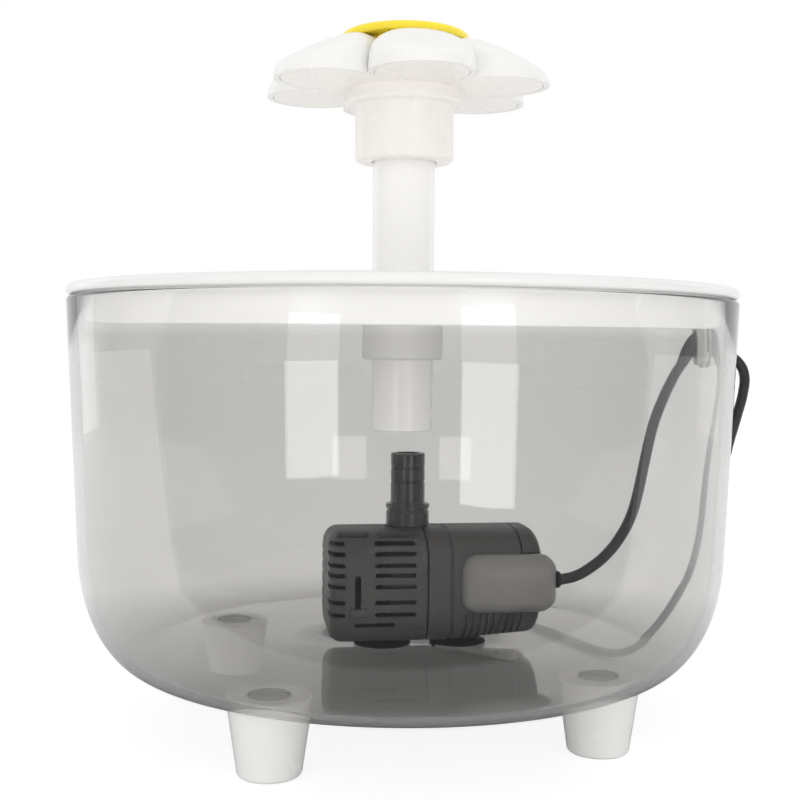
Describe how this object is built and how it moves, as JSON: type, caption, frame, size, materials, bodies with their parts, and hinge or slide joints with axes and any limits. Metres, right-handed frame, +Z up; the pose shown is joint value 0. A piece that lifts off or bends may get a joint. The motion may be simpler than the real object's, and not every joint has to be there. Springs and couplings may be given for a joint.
{
  "type": "pet water fountain",
  "caption": "Clear-bowl pet water fountain on white feet, with a white drinking tray, a flower spout on a tall stem, and a submersible pump whose cord ends in a plug.",
  "frame": {"origin": "on the floor, on the axis of the bowl", "axes": "+Z up along the stem, -Y towards the viewer of the picture, +X towards the side where the cord leaves the bowl"},
  "size_m": [0.1987, 0.2742, 0.1982],
  "materials": {
    "smoky_clear": "clear smoky grey, polished",
    "white_plastic": "white, satin gloss, slightly translucent",
    "yellow_plastic": "yellow, satin gloss",
    "pump_plastic": "dark grey, fine matte grain",
    "spout_plastic": "black, glossy",
    "rubber": "black, matte",
    "grommet_rubber": "milky silicone",
    "cord_sheath": "dark grey PVC, satin",
    "filter_foam": "open foam with carbon grains",
    "ferrite": "sintered ferrite, dull",
    "ceramic": "white ceramic, ground",
    "laminate": "stamped laminations",
    "copper_wire": "enamelled copper wire",
    "board": "green solder mask",
    "plug_metal": "nickel plate"
  },
  "bodies": {
    "bowl_unit": {"bowl": "smoky_clear", "foot_1": "white_plastic", "foot_2": "white_plastic", "foot_3": "white_plastic", "foot_4": "white_plastic", "cord_grommet": "grommet_rubber", "pump_housing": "pump_plastic", "pump_rear_cap": "pump_plastic", "impeller_plate": "spout_plastic", "front_bush": "rubber", "rear_bush": "rubber", "rotor_shaft": "ceramic", "stator_core": "laminate", "upper_winding": "copper_wire", "lower_winding": "copper_wire", "driver_board": "board", "outlet_nozzle": "spout_plastic", "nozzle_seal": "rubber", "rear_suction_cup": "rubber", "cord_seal": "rubber", "supply_cord": "cord_sheath", "cord_tail": "cord_sheath", "cord_coil": "cord_sheath", "cord_tie": "spout_plastic", "plug_relief": "cord_sheath", "plug_body": "cord_sheath", "plug_shell": "plug_metal", "plug_tongue": "spout_plastic"},
    "tray_unit": {"tray": "white_plastic"},
    "strainer_unit": {"strainer": "white_plastic", "filter_pad": "filter_foam"},
    "stem_unit": {"stem": "white_plastic"},
    "flower_unit": {"flower_base": "white_plastic", "petal_shell": "white_plastic"},
    "cap_unit": {"flower_cap": "yellow_plastic"},
    "cover_unit": {"intake_cover": "pump_plastic", "front_suction_cup": "rubber"},
    "regulator_unit": {"flow_regulator": "pump_plastic"},
    "rotor_unit": {"impeller": "spout_plastic", "rotor_magnet": "ferrite"}
  },
  "joints": [
    {"name": "tray_lift", "type": "slide", "parent": "bowl_unit", "child": "tray_unit", "axis": [0, 0, 1], "range_m": [0, 0.06]},
    {"name": "strainer_lift", "type": "slide", "parent": "tray_unit", "child": "strainer_unit", "axis": [0, 0, 1], "range_m": [0, 0.018]},
    {"name": "stem_slide", "type": "slide", "parent": "tray_unit", "child": "stem_unit", "axis": [0, 0, 1], "range_m": [-0.02, 0.045]},
    {"name": "flower_lift", "type": "slide", "parent": "stem_unit", "child": "flower_unit", "axis": [0, 0, 1], "range_m": [0, 0.02]},
    {"name": "cap_lift", "type": "slide", "parent": "flower_unit", "child": "cap_unit", "axis": [0, 0, 1], "range_m": [0, 0.015]},
    {"name": "cover_slide", "type": "slide", "parent": "bowl_unit", "child": "cover_unit", "axis": [-0.9903, -0.1392, 0], "range_m": [0, 0.03]},
    {"name": "regulator_slide", "type": "slide", "parent": "cover_unit", "child": "regulator_unit", "axis": [0, 0, 1], "range_m": [0, 0.0085]},
    {"name": "impeller_spin", "type": "hinge", "parent": "bowl_unit", "child": "rotor_unit", "pos_m": [0.0019, 0, 0.04], "axis": [0.9903, 0.1392, 0], "continuous": true}
  ]
}
